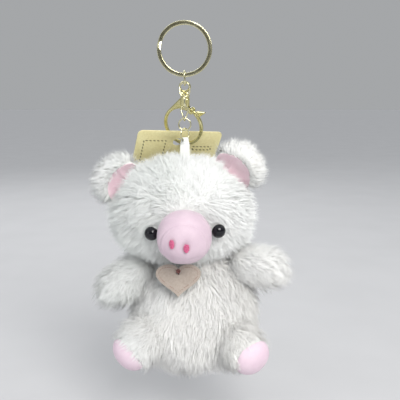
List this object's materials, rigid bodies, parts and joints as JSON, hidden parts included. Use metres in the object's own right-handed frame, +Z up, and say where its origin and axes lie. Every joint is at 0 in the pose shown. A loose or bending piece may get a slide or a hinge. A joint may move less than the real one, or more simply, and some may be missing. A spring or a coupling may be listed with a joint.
{
  "type": "plush pig key ring",
  "caption": "Fluffy seated toy pig hung by a ribbon loop and short chain from a split ring, with a swivel clasp, a card and a heart tag.",
  "frame": {"origin": "top of the split ring's hole, at the middle of its thickness, where the toy hangs on a hook or a key", "axes": "+Z up along the chain, +X to the viewer's right, -Y the way the pig's face looks"},
  "size_m": [0.1099, 0.0852, 0.196],
  "materials": {
    "pale_gold_wire": "polished",
    "gold_casting": "polished",
    "spring_steel": "satin",
    "kraft_card": "matte",
    "heart_card": "matte",
    "white_ribbon": "satin",
    "white_plush": "matte",
    "pink_velour": "matte",
    "fibre_filling": "matte",
    "magenta_stitch": "satin",
    "brown_thread": "matte",
    "black_bead": "gloss",
    "washer_plastic": "matte"
  },
  "bodies": {
    "ring": {"split_ring": "pale_gold_wire"},
    "link_1": {"chain_link_1": "pale_gold_wire"},
    "link_2": {"chain_link_2": "pale_gold_wire"},
    "link_3": {"chain_link_3": "pale_gold_wire"},
    "link_4": {"chain_link_4": "pale_gold_wire"},
    "jump_upper": {"jump_ring_upper": "pale_gold_wire"},
    "jump_lower": {"jump_ring_lower": "pale_gold_wire"},
    "head": {"ribbon_loop": "white_ribbon", "head_skin": "white_plush", "head_filling": "fibre_filling", "snout_skin": "pink_velour", "snout_filling": "fibre_filling", "nostril_left": "magenta_stitch", "nostril_right": "magenta_stitch", "eye_left": "black_bead", "eye_right": "black_bead", "eye_left_washer": "washer_plastic", "eye_right_washer": "washer_plastic", "ear_left_back": "white_plush", "ear_left_lining": "pink_velour", "ear_right_back": "white_plush", "ear_right_lining": "pink_velour"},
    "torso": {"torso_skin": "white_plush", "torso_filling": "fibre_filling", "tail": "pink_velour", "heart_pin": "brown_thread"},
    "arm_left": {"arm_left_skin": "white_plush", "arm_left_filling": "fibre_filling"},
    "arm_right": {"arm_right_skin": "white_plush", "arm_right_filling": "fibre_filling"},
    "leg_left": {"leg_left_skin": "white_plush", "leg_left_filling": "fibre_filling", "sole_left": "pink_velour"},
    "leg_right": {"leg_right_skin": "white_plush", "leg_right_filling": "fibre_filling", "sole_right": "pink_velour"},
    "heart": {"heart_tag": "heart_card"},
    "swivel_eye": {"clasp_eye": "gold_casting"},
    "swivel_hook": {"clasp_body": "gold_casting", "clasp_rivet": "gold_casting", "clasp_spring": "spring_steel"},
    "gate": {"clasp_gate": "gold_casting"},
    "card": {"swing_card": "kraft_card"}
  },
  "joints": [
    {"name": "ring_to_link", "type": "hinge", "parent": "ring", "child": "link_1", "pos_m": [0, 0, -0.02655], "axis": [1, 0, 0], "range_deg": [-20, 20]},
    {"name": "link_1_to_2", "type": "hinge", "parent": "link_1", "child": "link_2", "pos_m": [0, -0.0015, -0.03167], "axis": [-0.1392, 0.9903, 0], "range_deg": [-10, 10]},
    {"name": "link_2_to_3", "type": "hinge", "parent": "link_2", "child": "link_3", "pos_m": [0, -0.0015, -0.03817], "axis": [0.9659, 0.2588, 0], "range_deg": [-15, 0]},
    {"name": "link_3_to_4", "type": "hinge", "parent": "link_3", "child": "link_4", "pos_m": [0, -0.0015, -0.04467], "axis": [-0.2588, 0.9659, 0], "range_deg": [-10, 10]},
    {"name": "link_to_jump_ring", "type": "hinge", "parent": "link_4", "child": "jump_upper", "pos_m": [0, -0.0015, -0.05117], "axis": [0, 1, 0], "range_deg": [-10, 10]},
    {"name": "jump_ring_to_ring", "type": "hinge", "parent": "jump_upper", "child": "jump_lower", "pos_m": [0, -0.0015, -0.05662], "axis": [-1, 0, 0], "range_deg": [0, 12]},
    {"name": "ribbon_swing", "type": "hinge", "parent": "jump_lower", "child": "head", "pos_m": [0, -0.0015, -0.06212], "axis": [0.6428, 0.766, 0], "range_deg": [-15, 0]},
    {"name": "neck_bend", "type": "hinge", "parent": "head", "child": "torso", "pos_m": [0.0053, 0.0007, -0.12822], "axis": [1, 0, 0], "range_deg": [-2, 8], "stiffness_Nm_per_rad": 0.05},
    {"name": "arm_left_swing", "type": "hinge", "parent": "torso", "child": "arm_left", "pos_m": [-0.0243, -0.0058, -0.13412], "axis": [0, 1, 0], "range_deg": [-15, 15], "stiffness_Nm_per_rad": 0.01},
    {"name": "arm_right_swing", "type": "hinge", "parent": "torso", "child": "arm_right", "pos_m": [0.02986, -0.0051, -0.1319], "axis": [0, 1, 0], "range_deg": [-15, 15], "stiffness_Nm_per_rad": 0.01},
    {"name": "leg_left_swing", "type": "hinge", "parent": "torso", "child": "leg_left", "pos_m": [-0.01785, -0.0143, -0.16822], "axis": [1, 0, 0], "range_deg": [-12, 12], "stiffness_Nm_per_rad": 0.01},
    {"name": "leg_right_swing", "type": "hinge", "parent": "torso", "child": "leg_right", "pos_m": [0.026, -0.0158, -0.17026], "axis": [1, 0, 0], "range_deg": [-12, 12], "stiffness_Nm_per_rad": 0.01},
    {"name": "heart_swing", "type": "hinge", "parent": "torso", "child": "heart", "pos_m": [-0.00315, -0.02604, -0.13064], "axis": [0, 0.9703, -0.2419], "range_deg": [-20, 20]},
    {"name": "link_to_clasp", "type": "hinge", "parent": "link_1", "child": "swivel_eye", "pos_m": [0, 0.0013, -0.03167], "axis": [1, 0, 0], "range_deg": [0, 15]},
    {"name": "clasp_swivel", "type": "hinge", "parent": "swivel_eye", "child": "swivel_hook", "pos_m": [0, 0.0013, -0.03167], "axis": [0, -0.3746, 0.9272], "range_deg": [-15, 0]},
    {"name": "gate_open", "type": "hinge", "parent": "swivel_hook", "child": "gate", "pos_m": [0.00373, 0.00531, -0.04603], "axis": [0.4067, 0.847, 0.3422], "range_deg": [0, 22], "stiffness_Nm_per_rad": 0.002, "springref_deg": -20.05},
    {"name": "card_swing", "type": "hinge", "parent": "swivel_hook", "child": "card", "pos_m": [-0.00461, 0.01644, -0.06365], "axis": [0.9405, 0.3371, -0.0429], "range_deg": [0, 20]}
  ]
}
